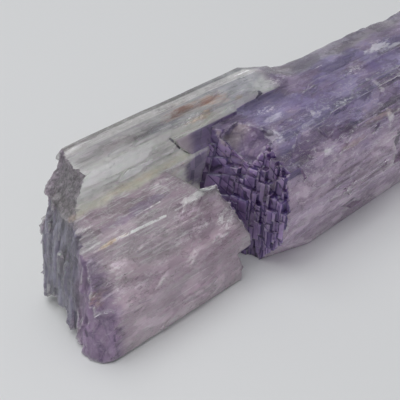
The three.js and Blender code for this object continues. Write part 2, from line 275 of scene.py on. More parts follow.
crystal = {
    "seed": 5,
    "looseGap": 0.002,        # mm, closer vertices of the solid are one
    "cutGap": 0.01,           # mm, the same after the cuts
    "flatAngle": 0.4,         # degrees, flatter neighbours are one face

    # cuts, which give the relief its vertices
    "cutAlong": 0.9,          # mm between cuts along the crystal
    "cutAcross": 0.42,        # mm between cuts across it
    "firstCut": 0.63,         # share of that distance before the first one
    "brokenReach": 13,        # how far along the broken end's faces reach
    "brokenFacing": -0.35,    # and how much they face that way
    "brokenBeside": 0.7,      # how broken the faces beside them are
    "brokenCut": 0.3,         # mm between upright cuts on the broken end
    "brokenLevels": 1.6,      # times as far between level ones
    "brokenSoft": 5,          # rounds of smoothing there
    "sharpAngle": 30,         # degrees
    "sharpBehind": 7.5,       # the broken end is flat-shaded behind this y

    # relief: name, where, noise size in mm, detail, kind, stretch along x y z, depth in mm,
    # level that stays in place, direction
    "relief": [
        ("ripple", "aboveGround", 4.0, 2, "SOFT_NOISE", (4, 1, 1), 0.3, 0.5, "NORMAL"),
        ("striation", "aboveGround", 0.9, 2, "SOFT_NOISE", (25, 1, 1), 0.2, 0.5, "NORMAL"),
        ("chips", "violetCrystal", 1.6, 3, "HARD_NOISE", (3, 1, 1), 0.5, 0.9, "NORMAL"),
        ("scoop", "scoop", 2.0, 2, "HARD_NOISE", (1, 1, 2), 0.5, 0.9, "NORMAL"),
        ("plates", "pinkEnds", 3.2, 1, "HARD_NOISE", (1, 1, 1.4), 0.7, 0.8, "NORMAL"),
        ("flute", "brokenEnd", 1.3, 2, "SOFT_NOISE", (1, 1, 5), -0.34, 1.0, "X"),
        ("hackle", "hackled", 1.1, 3, "HARD_NOISE", (1, 1, 2.2), -0.3, 1.0, "X"),
    ],

    # the etched end face
    "faceProfile": ((0, 37.6), (8, 36.7), (12, 36.9), (16, 38.4), (22.5, 41.2), (25, 44.0)),  # z, x
    "etchedReach": (31, 47),  # its range in x
    "etchedDepth": (-1.2, 1.9),       # mm behind its mean front
    "etchedFacing": -0.55,
    "scoopFacing": (-20, -14, 20),    # the way that the scoop above it faces
    "scoopReach": (36, 46),
    "flakeReach": (27, 40),   # the flake's ranges in x and z, and how far it stands out
    "flakeHeight": (20.5, 24.9),
    "flakeProud": (0.35, 0.8),
    "sliverCuts": (-3.1, -2.2, -1.35, -0.6, 0.4, 1.2, 2.1, 2.9, 3.9, 5.2, 6.3, 7.9, 8.7, 9.8, 10.9),
    "sliverFoot": (1, 16),    # where such a cut may start, in z
    "sliverLength": (3, 8),
    "cleftOverrun": 0.15,     # share of its length by which a cleft's cut is longer
    "largestCell": 14.0,      # mm2
    "smallestCell": 0.25,     # mm2, what is smaller gets no groove
    "cellTones": (0.25, 1.0),
    "grooveWidth": 0.09,      # mm, round the cells
    "cellLift": 0.05,         # mm, how far a cell may stand out
    "liftShares": (0.6, 1.0, 1.5),    # one third of the cells each time
    # each line: start, end, width, strength
    "clefts": [
        ((35.0, 9.8, 16.4), (36.0, 7.4, 15.5), 0.35, 0.9),
        ((38.3, 9.2, 19.6), (38.8, 4.8, 19.2), 0.18, 0.8),
        ((36.8, 3.5, 13.6), (37.4, -0.1, 13.1), 0.3, 0.9),
        ((36.5, 2.3, 11.8), (36.8, -0.2, 12.0), 0.35, 1.0),
        ((37.3, 8.8, 20.3), (36.0, 7.1, 14.5), 0.28, 1.0),
        ((39.5, 3.7, 21.6), (37.5, -1.1, 13.1), 0.24, 1.0),
        ((40.0, 4.6, 20.0), (37.6, 1.9, 17.0), 0.2, 0.9),
        ((36.3, 4.6, 14.2), (37.3, 1.9, 0.4), 0.5, 1.0),
        ((42.8, 7.5, 22.9), (40.3, 3.6, 21.9), 0.7, 0.9),
        ((41.3, 3.1, 22.5), (40.8, 0.2, 20.4), 0.35, 1.0),
        ((40.2, 0.8, 20.3), (38.7, -1.6, 14.9), 0.25, 0.9),
        ((37.3, 11.2, 23.5), (36.5, 9.9, 20.2), 0.25, 1.0),
        ((34.6, 12.5, 22.2), (36.3, 7.8, 17.6), 0.3, 0.8),
        ((31.1, 11.8, 20.7), (34.2, 11.0, 16.8), 0.8, 1.0),
        ((34.2, 11.0, 16.8), (35.2, 9.9, 17.6), 0.6, 0.9),
        ((36.6, 1.1, 6.4), (38.2, -1.4, 5.0), 0.3, 0.9),
        ((34.8, 9.4, 14.6), (36.3, 4.2, 11.5), 0.4, 0.8),
    ],

    # the finish
    "ior": 1.66,
    "absorption": (0.88, 0.78, 0.92, 1),
    "density": 16.0,
    "milkClear": 0.36,        # share of milky crystal, the rest being glass
    "milkPink": 0.44,
    "milkViolet": 0.44,
    "roughness": 0.05,
    "bumpStrength": 0.5,
    "bumpHeight": 0.3,        # mm
    "scatter": 0.8,           # in the milky part
    "scatterDepth": 5.0,      # mm
    "scatterRadius": (1.0, 0.85, 1.0),

    # screen colours
    "gain": 1.25,
    "pairs": {                # dark, pale
        "pink": ((152, 130, 148), (196, 178, 188)),
        "corner": ((136, 128, 138), (178, 172, 178)),     # grey back corner of the pink crystal
        "plate": ((108, 86, 124), (164, 142, 168)),       # its violet end
        "clear": ((192, 192, 192), (255, 254, 252)),
        "clearBack": ((140, 142, 138), (184, 184, 176)),  # narrow face behind the upper edge
        # painted light: the clear crystal's front, lighter where light comes through it
        "clearFront": ((218, 220, 212), (255, 255, 252)),
        "strip": ((168, 166, 160), (240, 238, 234)),      # painted highlight on the strip in front of that edge
        "violetBlue": ((108, 98, 146), (144, 136, 172)),
        "violetRed": ((118, 100, 130), (158, 140, 162)),
        "violetRear": ((130, 128, 136), (172, 170, 166)), # back of the violet crystal's top
        "violetLow": ((148, 128, 154), (198, 178, 198)),  # its front, painted lighter as light comes through it
        "cell": ((64, 46, 98), (152, 130, 172)),          # cells of the etched face
        "scoop": ((104, 82, 128), (158, 138, 162)),
        "flake": ((62, 44, 96), (116, 92, 140)),
        "sliver": ((60, 44, 96), (156, 142, 176)),        # facets of the recess behind the pink crystal, painted dark as its shade
        "pit": ((44, 38, 50), (124, 116, 124)),           # broken end: top; the end's colours are also painted darker as shade
        "flute": ((22, 20, 38), (126, 122, 146)),         # its foot
        "chunk": ((26, 24, 46), (140, 138, 158)),
        "frontFlute": ((78, 62, 92), (150, 130, 154)),    # its front
        "rust": ((74, 52, 46), (154, 124, 110)),
        "gold": ((150, 106, 58), (226, 196, 150)),
    },
    "colours": {
        "greenish": (236, 234, 214),      # clear crystal: front, far end, patches
        "clearFar": (198, 202, 212),
        "blueGrey": (120, 122, 136),
        "cream": (238, 228, 208),
        "mauve": (176, 154, 164),
        "fog": (206, 196, 200),           # clouds and streaks inside
        "plum": (116, 93, 128),
        "line": (246, 238, 240),
        "needle": (255, 250, 248),
        "vein": (236, 226, 236),
        "plateEdge": (70, 52, 92),        # etched face and what lies beside it
        "cleft": (40, 28, 66),
        # painted highlight
        "scoopBack": (176, 166, 162),
        "scoopCleft": (50, 36, 74),
        "flakeTip": (158, 144, 156),
        "flakeEdge": (60, 44, 86),
        "chipEdge": (48, 40, 54),
        "haze": (232, 216, 226),          # marks placed one by one
        "veil": (244, 236, 240),
        "deep": (92, 76, 126),
        "rustFar": (178, 138, 118),
        # painted highlights
        "glint": (255, 252, 250),
        "crack": (50, 40, 66),
        "tintPink": (244, 228, 240),      # glass
        "tintClear": (244, 244, 240),
        "tintViolet": (216, 198, 236),
    },

    # single patches: centre, half sizes
    "shadowPatch": ((27.0, 15.6, 26.6), (7.0, 1.1, 1.2)),     # on top of the clear crystal
    "blushPatch": ((19.2, 16.8, 26.4), (6.5, 1.4, 1.2)),
    "hollowPatch": ((32.2, 11.6, 17.8), (4.4, 3.0, 5.2)),     # painted shade in the recess behind the pink crystal

    # each patch: centre, half sizes, strength
    "white": [
        ((82.5, 12.6, 24.0), (5.0, 1.8, 1.5), 0.65),      # veil on the back of the top
        ((86.0, 11.2, 23.9), (3.4, 0.8, 1.5), 0.6),
        ((46.8, 8.8, 23.4), (3.0, 0.8, 1.2), 0.4),
        ((51.1, -1.4, 19.1), (1.6, 1.1, 1.2), 0.55),
        ((43.6, 5.8, 22.4), (1.6, 1.4, 1.2), 0.45),
        ((27.0, 6.7, 17.5), (5.0, 0.75, 1.0), 0.75),     # rim of the pink crystal
        ((68.9, -1.2, 18.8), (1.2, 1.4, 3.0), 0.6),
        ((71.4, 4.2, 22.6), (0.8, 2.8, 1.4), 0.45),
    ],
    "haze": [
        ((8.9, 4.4, 14.6), (2.4, 1.6, 1.8), 0.7),
        ((7.6, 2.3, 11.8), (2.2, 1.4, 1.4), 0.7),
        ((10.8, 1.6, 11.0), (2.6, 1.4, 1.2), 0.6),
        ((15.9, 5.0, 15.2), (3.2, 1.2, 1.2), 0.5),
        ((15.4, 2.6, 12.4), (3.0, 1.2, 1.2), 0.5),
        ((19.4, 3.2, 13.2), (3.0, 1.4, 1.4), 0.6),
        ((24.6, 3.6, 13.8), (3.2, 1.6, 2.0), 0.8),
        ((23.6, 5.4, 16.0), (3.4, 1.4, 1.4), 0.9),
        ((26.2, 5.0, 15.6), (3.0, 1.2, 1.2), 0.8),
        ((22.4, 0.6, 10.2), (3.6, 1.0, 0.9), 0.6),
        ((27.8, 1.4, 11.2), (2.4, 1.4, 1.6), 0.8),
        ((12.0, 0.0, 4.0), (6.0, 1.2, 2.2), 0.5),
        ((22.0, 0.0, 3.0), (6.0, 1.2, 1.6), 0.6),
        ((24.0, 9.6, 18.6), (4.0, 1.2, 0.8), 0.4),
    ],
    "frost": [
        ((30.0, 2.8, 12.6), (2.4, 2.2, 2.8), 0.9),
        ((32.4, 14.3, 26.2), (3.4, 0.8, 0.8), 0.9),
        ((60.5, 4.6, 22.9), (3.8, 1.4, 1.0), 0.7),
        ((44.0, 4.8, 22.5), (2.2, 1.6, 1.0), 0.6),
        ((47.5, 11.2, 23.8), (3.0, 1.2, 0.9), 0.6),
        ((71.0, 9.6, 23.8), (3.4, 1.8, 0.9), 0.6),
        ((54.5, 15.6, 25.0), (4.0, 1.4, 1.0), 0.5),
    ],
    "dark": [
        ((43.4, 6.4, 22.8), (0.9, 2.4, 0.8), 0.8),       # top of the etched face
        ((66.4, 3.4, 22.5), (2.2, 1.3, 0.8), 0.5),
        ((57.8, -3.0, 4.9), (3.2, 0.8, 0.7), 0.9),
        ((70.0, 19.9, 24.0), (1.4, 0.5, 0.6), 0.6),
        ((72.0, 14.1, 24.3), (1.8, 1.0, 0.6), 0.5),
        ((71.3, -2.7, 13.4), (1.2, 1.0, 3.0), 0.8),
    ],
    "rust": [
        ((32.8, 17.2, 26.8), (6.5, 2.2, 1.6), 1.0),     # inside the clear crystal
        ((38.4, 16.4, 26.5), (6.5, 2.4, 1.4), 0.9),
    ],
    "gold": [
        ((34.5, 14.2, 26.0), (4.0, 0.7, 0.7), 0.7),
        ((9.0, 6.6, 17.5), (3.4, 0.5, 0.6), 1.0),
        ((6.6, 12.2, 20.6), (3.4, 0.9, 0.6), 0.25),
        ((2.8, 2.8, 12.8), (3.0, 2.0, 2.0), 0.4),
        ((43.6, 14.3, 26.4), (1.3, 0.8, 0.6), 0.6),
        ((67.0, -0.9, 20.2), (5.0, 0.9, 1.2), 0.6),
        ((58.0, -1.6, 18.2), (5.0, 0.9, 1.0), 0.4),
        ((20.0, 12.1, 21.4), (12.0, 0.6, 0.8), 0.4),
    ],
    "plum": [
        ((56.0, 0.0, 20.2), (5.5, 3.0, 2.6), 1.0),
        ((46.0, 0.0, 19.6), (5.5, 3.0, 3.6), 0.8),
    ],
    "violet": [
        ((54.4, 9.2, 23.6), (5.0, 3.0, 1.4), 0.45),
        ((62.8, 10.6, 23.6), (6.0, 3.6, 1.4), 0.5),
        ((75.5, 8.6, 23.5), (4.5, 2.2, 1.2), 0.6),
        ((18.0, 9.0, 18.9), (6.0, 1.2, 0.8), 0.5),
        ((13.6, 8.6, 18.6), (5.6, 1.0, 0.8), 0.45),
        ((28.5, 4.6, 15.8), (2.6, 1.4, 1.2), 0.5),
    ],
    # each line: start, end, width, strength
    # painted highlights on ridges and edges first, then pale layers
    "glints": [
        ((11.0, 6.6, 17.5), (19.8, 6.4, 17.1), 0.34, 1.0),    # painted highlight on the ridge of the pink crystal
        ((4.8, 6.6, 17.45), (11.0, 6.6, 17.5), 0.42, 0.9),
        ((15.4, 8.3, 18.5), (20.4, 8.4, 18.5), 0.2, 0.7),
        ((47.5, 19.4, 26.9), (53.5, 19.4, 26.9), 0.16, 0.9),
        ((48.4, 18.7, 26.6), (53.6, 18.7, 26.6), 0.14, 0.7),
        ((32.0, 14.2, 26.3), (34.8, 14.2, 26.3), 0.22, 0.9),
        ((59.0, 14.9, 24.3), (67.0, 14.8, 24.3), 0.3, 0.7),
        ((22.0, 6.4, 17.1), (30.0, 6.2, 17.0), 0.25, 0.5),
        ((13.1, 0.0, 7.2), (21.7, 0.0, 6.8), 0.14, 0.45),      # layers low on the pink crystal
        ((15.8, 0.1, 8.0), (23.7, 0.1, 7.6), 0.12, 0.4),
        ((16.5, -0.1, 5.5), (29.0, 0.0, 5.9), 0.14, 0.5),
        ((22.6, -0.2, 4.7), (29.0, 0.0, 6.3), 0.12, 0.45),
        ((12.2, 3.5, 13.7), (22.1, 3.0, 13.1), 0.12, 0.4),
        ((7.0, 5.3, 15.7), (12.2, 5.2, 15.5), 0.14, 0.5),
    ],
    "cracksAndShadows": [
        ((48.1, 13.8, 24.7), (48.9, 13.8, 25.0), 0.75, 1.0),    # notch
        ((48.5, 13.9, 24.8), (48.7, 14.0, 26.2), 0.6, 1.0),
        ((55.5, 2.8, 22.3), (62.3, 3.2, 22.5), 0.22, 0.9),     # ledge
        ((52.7, 2.8, 21.9), (52.5, 0.6, 20.6), 0.35, 0.8),
        ((44.9, -1.0, 19.2), (45.2, -2.2, 17.6), 0.16, 0.8),
        ((51.6, -3.9, 11.0), (56.6, -3.9, 11.2), 0.3, 0.8),
        ((8.2, 0.0, 9.5), (11.4, 0.0, 8.5), 0.25, 0.7),
        ((13.6, 0.0, 8.0), (15.2, 0.0, 9.0), 0.2, 0.6),
        ((1.8, 3.2, 12.6), (2.8, 1.7, 11.4), 0.3, 0.9),        # round the violet end's plates
        ((2.2, 1.8, 11.4), (5.1, 0.3, 9.6), 0.5, 1.0),
        ((2.8, 1.7, 11.2), (4.0, 0.9, 8.4), 0.3, 0.8),
        ((4.0, 0.9, 8.4), (4.0, 0.0, 4.4), 0.3, 0.8),
        ((1.0, 5.6, 10.0), (1.6, 4.2, 4.0), 0.35, 0.7),
        ((11.2, 5.9, 16.6), (20.0, 5.8, 16.5), 0.16, 0.4),     # under the ridge
        ((27.3, 13.7, 25.0), (27.7, 13.6, 24.3), 0.4, 1.0),    # painted shadow along the left edge of the flake
        ((28.0, 13.5, 23.9), (28.8, 13.2, 22.7), 0.3, 1.0),
        ((29.2, 13.0, 22.3), (30.2, 12.4, 21.3), 0.22, 0.8),
        ((40.0, 17.8, 26.8), (14.0, 17.1, 26.8), 0.14, 0.5),   # groove on the clear crystal
        ((6.0, 12.1, 20.2), (16.0, 11.8, 20.2), 0.2, 0.7),     # join with the pink crystal
    ],
}

scoopNormal = Vector(crystal["scoopFacing"]).normalized()


def within(value, span):
    return span[0] < value < span[1]


def pickFaces(piece, test):
    mesh = bmesh.from_edit_mesh(piece.data)
    bpy.ops.mesh.select_all(action="DESELECT")
    for face in mesh.faces:
        if test(inCrystal(face.calc_center_median()), face.normal, face):
            face.select_set(True)
    bmesh.update_edit_mesh(piece.data)


def cutPlane(axis, at):
    point = list(low)
    point[axis] = at
    normal = [0, 0, 0]
    normal[axis] = 1
    bpy.ops.mesh.bisect(plane_co=point, plane_no=normal)


def cutEvery(piece, axis, pitch, start, end, test=None):
    # parallel cuts square to an axis, through the whole piece or the faces that pass the test
    for k in range(int((end - start) / pitch) + 1):
        if test:
            pickFaces(piece, test)
        else:
            bpy.ops.mesh.select_all(action="SELECT")
        cutPlane(axis, start + (k + crystal["firstCut"]) * pitch)


def mergeClose(distance):
    bpy.ops.mesh.select_all(action="SELECT")
    bpy.ops.mesh.remove_doubles(threshold=distance * mm)


def onBrokenEnd(at, normal, face=None):
    return at[0] < crystal["brokenReach"] and normal.x < crystal["brokenFacing"]


def faceDepth(at):
    # how far a place lies behind the etched end face, which slants away to the back
    x, y, z = at
    profile = crystal["faceProfile"]
    front = profile[-1][1]
    for (lowZ, lowX), (highZ, highX) in zip(profile, profile[1:]):
        if z <= highZ:
            front = lowX + (highX - lowX) * max(0.0, z - lowZ) / (highZ - lowZ)
            break
    front -= 0.3 * min(y - 0.7, 3.8) + 0.75 * max(0.0, y - 4.5)
    return x - front


def inEtchedFace(at, normal, face):
    # the small faces from a little in front of that face to a little behind it, off the ground
    small = face.calc_area() < crystal["largestCell"] * mm * mm
    near = within(at[0], crystal["etchedReach"]) and within(faceDepth(at), crystal["etchedDepth"])
    return small and near and at[2] > 0.5


def onEtchedFront(at, normal, face):
    return inEtchedFace(at, normal, face) and normal.x < crystal["etchedFacing"]


def cutSlivers(piece, draw):
    # upright cuts, each through one band of the face
    for y in crystal["sliverCuts"]:
        bottom = draw.uniform(*crystal["sliverFoot"])
        top = bottom + draw.uniform(*crystal["sliverLength"])
        pickFaces(piece, lambda at, n, f: onEtchedFront(at, n, f) and bottom < at[2] < top)
        cutPlane(1, place(0, y, 0).y)


def cutClefts(piece):
    overrun = crystal["cleftOverrun"]
    for start, end, width, strength in crystal["clefts"]:
        start, end = Vector(start), Vector(end)
        along = end - start

        def beside(at, normal, face):
            share = (Vector(at) - start).dot(along) / along.length_squared
            return onEtchedFront(at, normal, face) and -overrun < share < 1 + overrun

        pickFaces(piece, beside)
        bpy.ops.mesh.bisect(plane_co=place(*start), plane_no=along.cross(Vector((1, 0, 0))))


def markEtched(piece):
    # numbers for the finish: 1 on the etched face, on the scoop above it and on the flake
    mesh = bmesh.from_edit_mesh(piece.data)
    etched = mesh.faces.layers.float.new("etched")
    scoop = mesh.faces.layers.float.new("scoop")
    flake = mesh.faces.layers.float.new("flake")
    for face in mesh.faces:
        at = inCrystal(face.calc_center_median())
        # how far the face stands out from the clear crystal's slanting front
        proud = 0.27 * (at[2] - 22.1) - 0.96 * (at[1] - 13)
        face[etched] = float(inEtchedFace(at, face.normal, face))
        face[scoop] = float(face.normal.dot(scoopNormal) > 0.98 and within(at[0], crystal["scoopReach"]))
        face[flake] = float(within(at[0], crystal["flakeReach"]) and within(proud, crystal["flakeProud"])
                            and within(at[2], crystal["flakeHeight"]))


def grooveCells(piece, draw):
    # insets a groove round each cell, gives each cell a tone of its own and lifts some of them
    def isCell(at, normal, face):
        return onEtchedFront(at, normal, face) and face.calc_area() > crystal["smallestCell"] * mm * mm

    pickFaces(piece, isCell)
    bpy.ops.mesh.inset(thickness=crystal["grooveWidth"] * mm, depth=0, use_individual=True)
    mesh = bmesh.from_edit_mesh(piece.data)
    cell = mesh.faces.layers.float.new("cell")
    inner = [face.index for face in mesh.faces if face.select]
    for face in mesh.faces:
        face[cell] = draw.uniform(*crystal["cellTones"]) if face.select else 0.0
    bmesh.update_edit_mesh(piece.data)
    for share in crystal["liftShares"]:
        chosen = set(draw.sample(inner, len(inner) // 3))
        pickFaces(piece, lambda at, n, f: f.index in chosen)
        bpy.ops.transform.translate(value=(-crystal["cellLift"] * share * mm, 0, 0))


def cutCrystal(piece):
    # merges the loose triangles, etches the end face and cuts the whole into small faces
    makeActive(piece)
    bpy.ops.object.mode_set(mode="EDIT")
    bpy.context.tool_settings.mesh_select_mode = (False, False, True)
    mergeClose(crystal["looseGap"])
    bpy.ops.mesh.dissolve_limited(angle_limit=radians(crystal["flatAngle"]))
    draw = random.Random(crystal["seed"])
    cutSlivers(piece, draw)
    cutClefts(piece)
    markEtched(piece)
    grooveCells(piece, draw)
    print("etched face cut into", len(bmesh.from_edit_mesh(piece.data).faces), "faces in all")

    pitch = crystal["brokenCut"]
    cutEvery(piece, 1, pitch * mm, low.y, high.y, onBrokenEnd)
    cutEvery(piece, 2, pitch * crystal["brokenLevels"] * mm, low.z, high.z, onBrokenEnd)
    pickFaces(piece, onBrokenEnd)
    bpy.ops.mesh.vertices_smooth(factor=0.5, repeat=crystal["brokenSoft"])
    cutEvery(piece, 0, crystal["cutAlong"] * mm, low.x, high.x)
    cutEvery(piece, 1, crystal["cutAcross"] * mm, low.y, high.y)
    cutEvery(piece, 2, crystal["cutAcross"] * mm, low.z, high.z)
    mergeClose(crystal["cutGap"])
    bpy.ops.mesh.select_all(action="SELECT")
    bpy.ops.mesh.quads_convert_to_tris()
    bpy.ops.object.mode_set(mode="OBJECT")
    print("crystal cut:", len(piece.data.polygons), "triangles")


# The next functions say where each relief works, as a weight from 0 to 1.
def aboveGround(at, normal):
    return limit(at[2] - 0.3)


def violetSides(at, normal):
    # the long faces of the violet crystal, below the clear one's top
    inside = at[0] > 36 and (at[2] < 24.6 or at[0] > 58) and abs(normal.x) < 0.5
    return limit((at[2] - 0.5) / 2) if inside else 0.0


def onScoop(at, normal):
    return float(normal.dot(scoopNormal) > 0.9 and within(at[0], crystal["scoopReach"]))


def pinkEnds(at, normal):
    # both ends of the pink crystal, fading out over 4 mm along it
    if at[1] > 9 or at[2] > 18.5 or at[0] > 34:
        return 0.0
    near = max(0.0, min(1.0, (8.5 - at[0]) / 4), min(1.0, (at[0] - 24) / 4))
    near *= min(1.0, abs(at[2] - 11.6) / 1.6 + 0.25) if at[0] < 10 else 1.0    # less at the bend
    return near * limit((9 - at[1]) / 2) * limit(at[2] - 0.4)


def brokenEnd(at, normal):
    # all that faces the broken end, but not where it meets the ground
    return 1.0 if at[0] < 12.5 and normal.x < -0.3 and at[2] > 0.3 else 0.0


def hackled(at, normal):
    return brokenEnd(at, normal) * limit((at[1] - 6.5) / 2)


weights = {"aboveGround": aboveGround, "violetCrystal": violetSides, "scoop": onScoop,
           "pinkEnds": pinkEnds, "brokenEnd": brokenEnd, "hackled": hackled}


def addGroup(piece, name):
    group = piece.vertex_groups.new(name=name)
    for vertex in piece.data.vertices:
        weight = weights[name](inCrystal(vertex.co), vertex.normal)
        if weight > 0:
            group.add([vertex.index], weight, "REPLACE")


def displace(piece, name, group, size, detail, kind, stretch, depth, still, direction):
    texture = bpy.data.textures.new(name, type="CLOUDS")
    texture.noise_scale = size * mm
    texture.noise_depth = detail
    texture.noise_type = kind
    deselectAll()
    bpy.ops.object.empty_add(location=(0, 0, 0))
    guide = bpy.context.object
    guide.scale = stretch
    makeActive(piece)
    modifier = piece.modifiers.new(name, "DISPLACE")
    modifier.texture = texture
    modifier.texture_coords = "OBJECT"
    modifier.texture_coords_object = guide
    modifier.strength = depth * mm
    modifier.mid_level = still
    modifier.direction = direction
    modifier.vertex_group = group
    bpy.context.view_layer.update()
    bpy.ops.object.modifier_apply(modifier=name)
    bpy.data.objects.remove(guide)


def markBroken(piece):
    # a number for the finish: 1 on the faces of the broken end, less on those beside them
    mesh = bmesh.new()
    mesh.from_mesh(piece.data)
    broken = mesh.faces.layers.float.new("broken")
    nearEnd = []
    for face in mesh.faces:
        at = inCrystal(face.calc_center_median())
        face[broken] = float(onBrokenEnd(at, face.normal))
        if at[0] < 8 and not face[broken]:
            nearEnd.append(face)
    beside = [face for face in nearEnd
              if any(other[broken] for edge in face.edges for other in edge.link_faces)]
    for face in beside:
        face[broken] = crystal["brokenBeside"]
    mesh.to_mesh(piece.data)
    mesh.free()


def flattenBroken(piece):
    # sharp facets on the broken end's back
    broken = piece.data.attributes["broken"].data
    for face in piece.data.polygons:
        behind = inCrystal(face.center)[1] > crystal["sharpBehind"]
        if behind and broken[face.index].value > 0.5:
            face.use_smooth = False


def makeCrystal():
    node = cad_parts["kunzite_crystal"]
    piece = bpy.data.objects.new("kunzite", node.data.copy())
    bpy.context.collection.objects.link(piece)
    piece.data.materials.clear()
    cutCrystal(piece)
    for name, group, *values in crystal["relief"]:
        if group not in piece.vertex_groups:
            addGroup(piece, group)
        displace(piece, name, group, *values)
    print("relief ready:", len(crystal["relief"]), "layers")
    markBroken(piece)
    makeActive(piece)
    bpy.ops.object.shade_smooth_by_angle(angle=radians(crystal["sharpAngle"]))
    flattenBroken(piece)
    return piece


def surfaceColour(screen):
    # a screen colour as the linear colour of a surface, brightened by the gain
    def linear(value):
        share = value / 255
        return share / 12.92 if share <= 0.04045 else ((share + 0.055) / 1.055) ** 2.4

    return tuple(min(0.95, crystal["gain"] * linear(value)) for value in screen)


def seen(name):
    return surfaceColour(crystal["colours"][name])


def blend(graph, name, factor):
    # from the dark to the pale colour of a pair
    dark, pale = crystal["pairs"][name]
    return graph.mix(surfaceColour(dark), surfaceColour(pale), factor)


def makeNoises(graph, f):
    at = f.at
    f.wander = graph.noise(at, 0.18, 3) - 0.5                        # bends the borders
    f.ragged = (graph.streaks(at, 0.45, 0.9, 5, 0.75) - 0.5) * 2.6   # frays the patches
    f.fibre = graph.streaks(at, 0.05, 0.9, 5, 0.65)                  # long and coarse
    f.grain = graph.streaks(at, 0.09, 1.0, 6, 0.7)                   # shorter
    f.longHair = graph.streaks(at, 0.045, 2.6, 3, 0.6)               # fine lines
    f.shortHair = graph.streaks(at, 0.08, 2.6, 4, 0.7)
    f.cloud = graph.streaks(at, 0.4, 0.22, 3, 0.5, 0.4)
    f.speck = graph.streaks(at, 0.5, 2.2, 4, 0.75)
    f.duskNoise = graph.streaks(at, 0.4, 0.4, 4, 0.56, shift=(1, 9, 4))
    f.fogNoise = graph.streaks(at, 0.6, 0.34, 5, 0.58, shift=(7, 3, 1))
    plates = graph.scaled(at, (1, 1, 0.6))
    f.plateTone = graph.voronoi(plates, 0.42, "F1", 1)
    f.plateEdge = graph.rise(graph.voronoi(plates, 0.42, "DISTANCE_TO_EDGE"), 0.08, 0.03)


def makeZones(graph, f):
    x, y, z = graph.parts(f.at)
    f.x, f.y, f.z = x, y, z
    f.etched = graph.attribute("etched")
    f.cell = graph.attribute("cell")
    f.scoop = graph.attribute("scoop")
    f.broken = graph.attribute("broken")
    f.flake = graph.attribute("flake") * graph.rise(z, 24.9, 24.5)

    # which crystal a point belongs to
    fingers = (f.fibre - 0.5) * graph.rise(y, 14, 19) * graph.rise(z, 25, 23) * 40
    upper = graph.rise(z, 24.2, 24.7) * 18     # the clear crystal reaches further up there
    f.violetPart = graph.rise(x + f.wander * 4 + fingers - upper, 33, 37.5)
    overJoin = graph.rise(y + f.wander * 1.6, 11.3, 12.1)
    f.clearPart = overJoin * (1 - f.violetPart)
    f.pinkPart = (1 - overJoin) * (1 - f.violetPart)

    # parts of the three, and the painted shade in the recess behind the pink one
    f.pinkEnd = graph.rise(x + f.wander * 4 + (f.fibre - 0.5) * 4, 7.4, 4.2) * graph.rise(y, 7.2, 6.2)
    f.pinkRidge = graph.rise(z, 14.5, 16.5) * f.pinkPart
    f.clearBack = graph.rise(y, 19.9, 20.1)
    f.clearFront = graph.rise(z, 26.2, 25.9) * (1 - f.clearBack)
    # painted highlight along the clear crystal's upper edge
    f.clearStrip = graph.rise(y, 18.75, 18.9) * graph.rise(y, 19.95, 19.8)
    f.violetLow = graph.rise(y + z * 0.12 + f.wander * 5, 3.2, -0.5) * f.violetPart
    f.violetTop = graph.rise(z, 22.6, 23.4) * f.violetPart
    f.violetRear = graph.rise(y + f.wander * 5, 15.6, 17.6) * graph.rise(z, 20, 22.5)
    # painted shade in the recess behind the pink crystal
    hollow = graph.patch(f.at, f.ragged * 0.4, *crystal["hollowPatch"], 0.5)
    f.hollow = hollow * graph.rise(y, 11.2, 11.6) * (1 - f.etched)

    # clouds: fog is pale, dusk is dark
    f.fog = graph.rise(f.fogNoise, 0.5, 0.57) * (1 - f.clearPart * 0.5)
    f.dusk = graph.rise(f.duskNoise, 0.5, 0.6)


def makeMarks(graph, f):
    # the patches and lines that are placed one by one
    def patches(name, fray=1, soft=0.55):
        ragged = f.ragged if fray == 1 else f.ragged * fray
        return graph.strongest(graph.patch, f.at, ragged, crystal[name], soft)

    def strokes(name, fray=0.3):
        return graph.strongest(graph.stroke, f.at, f.ragged * fray, crystal[name], 0.6)

    sparkle = graph.noise(graph.scaled(f.at, (0.9, 2.5, 2.5), (3, 1, 2)), 1.0, 3, 0.6)
    f.white = patches("white")
    f.haze = patches("haze", soft=0.9) * graph.rise(f.speck, 0.3, 0.6)
    f.frost = patches("frost") * graph.rise(f.speck, 0.42, 0.64)
    # painted highlights along ridges and edges, broken up by the sparkle noise; also the pale layer
    # lines
    f.glint = strokes("glints") * graph.rise(sparkle, 0.32, 0.5)
    f.milkiness = f.white.atLeast(f.frost).atLeast(f.glint).atLeast(f.haze)
    f.deep = patches("violet")
    f.plum = patches("plum", soft=0.8)
    f.gold = patches("gold", soft=0.8)
    f.rust = patches("rust", 0.7, 1.0) * graph.rise(f.fibre, 0.1, 0.45)
    # dark patches, crack lines and painted shadow at the flake's left edge
    f.dark = patches("dark", 0.5, 0.3).atLeast(strokes("cracksAndShadows"))
    f.cleft = strokes("clefts", 0.25)


def pinkColour(graph, f):
    pink = blend(graph, "pink", f.cloud)
    # painted light: lighter lower down, standing in for light that comes through the crystal
    pink = graph.shade(pink, graph.rise(f.z, 19, 4) * 0.6 + 1)
    greyCorner = graph.rise(f.x + f.wander * 3, 8.5, 6.0) * graph.rise(f.y, 6.6, 7.6)
    pink = graph.mix(pink, blend(graph, "corner", f.cloud), greyCorner * 0.8)
    plates = blend(graph, "plate", f.plateTone * 0.5 + f.cloud * 0.5)
    return graph.mix(pink, graph.mix(plates, seen("plateEdge"), f.plateEdge * 0.35), f.pinkEnd)


